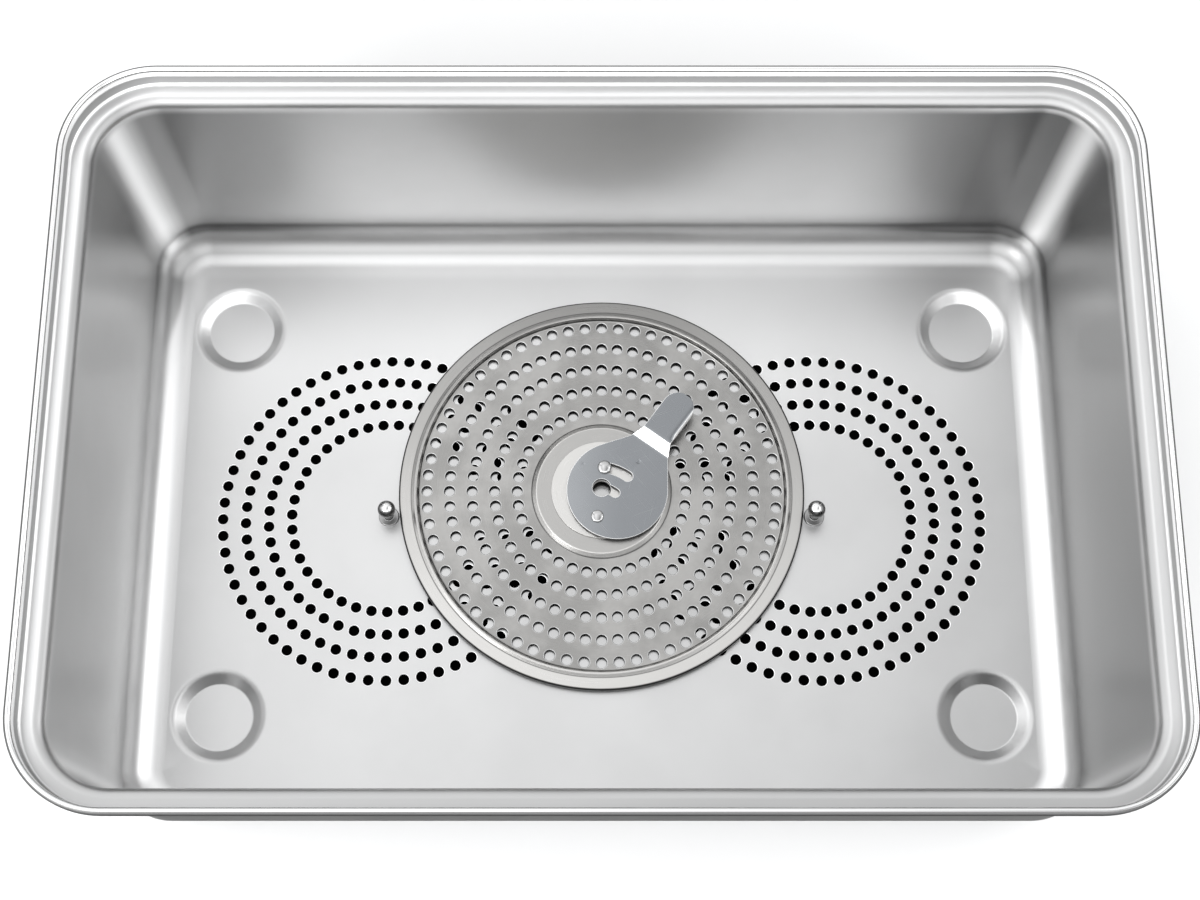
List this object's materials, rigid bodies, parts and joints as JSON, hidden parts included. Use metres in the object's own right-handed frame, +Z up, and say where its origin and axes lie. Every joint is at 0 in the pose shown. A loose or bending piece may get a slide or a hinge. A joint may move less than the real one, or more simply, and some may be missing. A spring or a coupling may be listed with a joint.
{
  "type": "sterilization container",
  "caption": "Open deep-drawn steel tub with a rolled stepped rim, pressed feet, perforated floor, filter posts, a loose lever-locked filter plate and folding side handles.",
  "frame": {"origin": "centre of the tub, on the surface that its four feet stand on", "axes": "+X along the long walls to the right, +Y to the back, +Z up out of the open top"},
  "size_m": [0.46, 0.318, 0.15],
  "materials": {
    "satin_steel": "fine bead-blasted satin stainless steel",
    "brushed_plate_steel": "stainless steel with a fine round brushed grain",
    "lever_steel": "smooth stainless steel with light scratches",
    "polished_steel": "polished stainless steel",
    "handle_steel": "satin stainless steel",
    "silicone": "matt translucent silicone, shown opaque",
    "grip": "matt black silicone sleeve"
  },
  "bodies": {
    "container": {"tub": "satin_steel", "filter_posts": "polished_steel", "left_handle_bracket": "handle_steel", "left_hinge_pins": "polished_steel", "left_latch_catch": "handle_steel", "right_handle_bracket": "handle_steel", "right_hinge_pins": "polished_steel", "right_latch_catch": "handle_steel"},
    "filter_plate": {"retention_plate": "brushed_plate_steel", "plate_gasket": "silicone", "lock_disc": "brushed_plate_steel", "pivot_rivet": "polished_steel", "guide_rivet": "polished_steel", "pivot_spacer": "polished_steel", "guide_spacer": "polished_steel"},
    "lever": {"lock_lever": "lever_steel"},
    "left_handle": {"left_handle_bail": "handle_steel", "left_handle_grip": "grip"},
    "right_handle": {"right_handle_bail": "handle_steel", "right_handle_grip": "grip"}
  },
  "joints": [
    {"name": "plate_lift", "type": "slide", "parent": "container", "child": "filter_plate", "axis": [0, 0, 1], "range_m": [0, 0.18]},
    {"name": "lever_lock", "type": "hinge", "parent": "filter_plate", "child": "lever", "pos_m": [-0.00198, -0.00206, 0.0127], "axis": [0, 0, 1], "range_deg": [0, 28]},
    {"name": "left_handle_fold", "type": "hinge", "parent": "container", "child": "left_handle", "pos_m": [-0.22396, 0, 0.0998], "axis": [0, 1, 0], "range_deg": [0, 90]},
    {"name": "right_handle_fold", "type": "hinge", "parent": "container", "child": "right_handle", "pos_m": [0.22396, 0, 0.0998], "axis": [0, -1, 0], "range_deg": [0, 90]}
  ]
}
